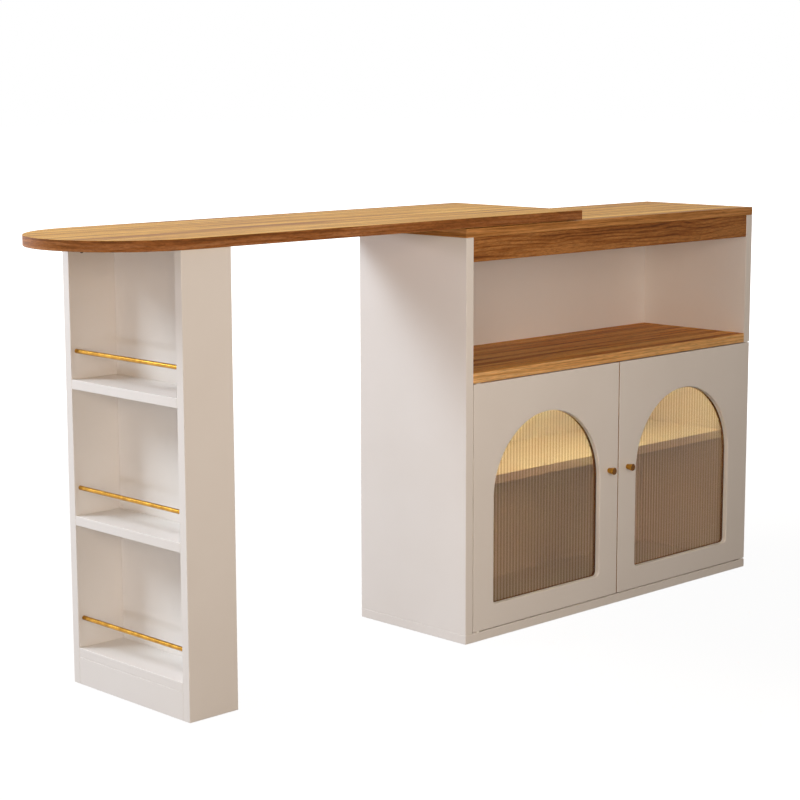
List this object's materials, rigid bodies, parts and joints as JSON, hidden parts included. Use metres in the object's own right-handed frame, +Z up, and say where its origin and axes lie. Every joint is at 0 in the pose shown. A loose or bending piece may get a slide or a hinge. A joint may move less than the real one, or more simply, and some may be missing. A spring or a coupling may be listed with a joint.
{
  "type": "bar counter with shelves",
  "caption": "Bar counter: a glazed two-door cabinet with an open niche, under a round-ended table top that swivels on it and stands on a shelved column.",
  "frame": {"origin": "middle of the whole counter's footprint, on the floor", "axes": "+X to the right along the cabinet's front, away from the shelved column; +Y to the back; +Z up"},
  "size_m": [1.9289, 0.398, 0.9195],
  "materials": {
    "painted_board": "satin off-white lacquer on board",
    "stained_wood": "satin stained oak veneer, grain along the length",
    "beech": "raw beech",
    "reeded_glass": "vertically reeded glass",
    "antique_brass": "aged brass",
    "zinc_steel": "zinc plated",
    "white_nylon": "moulded nylon",
    "aluminium_channel": "anodised",
    "opal_diffuser": "opal diffuser, lit warm",
    "roller_rubber": "grey rubber tread"
  },
  "bodies": {
    "cabinet": {"base_board": "painted_board", "left_side": "painted_board", "right_side": "painted_board", "back_panel": "painted_board", "niche_deck": "stained_wood", "counter_top": "stained_wood", "front_apron": "stained_wood", "inner_shelf": "painted_board", "shelf_pins": "zinc_steel", "panel_dowels": "beech", "base_screws": "zinc_steel", "back_screws": "zinc_steel", "cabinet_glides": "white_nylon", "light_bar": "aluminium_channel", "light_diffuser": "opal_diffuser", "door_catches": "white_nylon", "left_pivot_bushes": "white_nylon", "right_pivot_bushes": "white_nylon", "pivot_sleeve": "white_nylon", "slide_disc": "white_nylon"},
    "left_leaf": {"left_door": "painted_board", "left_glass": "reeded_glass", "left_glass_bead": "painted_board", "left_knob": "antique_brass", "left_knob_screw": "zinc_steel", "left_pivot_pins": "zinc_steel", "left_strike_plate": "zinc_steel"},
    "right_leaf": {"right_door": "painted_board", "right_glass": "reeded_glass", "right_glass_bead": "painted_board", "right_knob": "antique_brass", "right_knob_screw": "zinc_steel", "right_pivot_pins": "zinc_steel", "right_strike_plate": "zinc_steel"},
    "swivel_table": {"table_top": "stained_wood", "column_front_side": "painted_board", "column_rear_side": "painted_board", "column_back": "painted_board", "upper_shelf": "painted_board", "lower_shelf": "painted_board", "column_deck": "painted_board", "kick_board": "painted_board", "upper_rail": "antique_brass", "middle_rail": "antique_brass", "lower_rail": "antique_brass", "cam_nuts": "zinc_steel", "cam_bolts": "zinc_steel", "column_dowels": "beech", "column_back_screws": "zinc_steel", "pivot_insert": "antique_brass", "pivot_bolt": "zinc_steel", "pivot_washer": "zinc_steel", "roller_brackets": "zinc_steel", "roller_axles": "zinc_steel", "bracket_screws": "zinc_steel"},
    "front_wheel": {"front_roller": "roller_rubber"},
    "rear_wheel": {"rear_roller": "roller_rubber"}
  },
  "joints": [
    {"name": "table_swivel", "type": "hinge", "parent": "cabinet", "child": "swivel_table", "pos_m": [0.1645, 0.004, 0.8975], "axis": [0, 0, 1], "range_deg": [0, 180]},
    {"name": "left_door_hinge", "type": "hinge", "parent": "cabinet", "child": "left_leaf", "pos_m": [0.0065, -0.174, 0.295], "axis": [0, 0, 1], "range_deg": [-110, 0]},
    {"name": "right_door_hinge", "type": "hinge", "parent": "cabinet", "child": "right_leaf", "pos_m": [0.956, -0.174, 0.295], "axis": [0, 0, 1], "range_deg": [0, 110]},
    {"name": "front_roller_spin", "type": "hinge", "parent": "swivel_table", "child": "front_wheel", "pos_m": [-0.72525, -0.086, 0.024], "axis": [1, 0, 0], "continuous": true},
    {"name": "rear_roller_spin", "type": "hinge", "parent": "swivel_table", "child": "rear_wheel", "pos_m": [-0.72525, 0.094, 0.024], "axis": [1, 0, 0], "continuous": true}
  ]
}
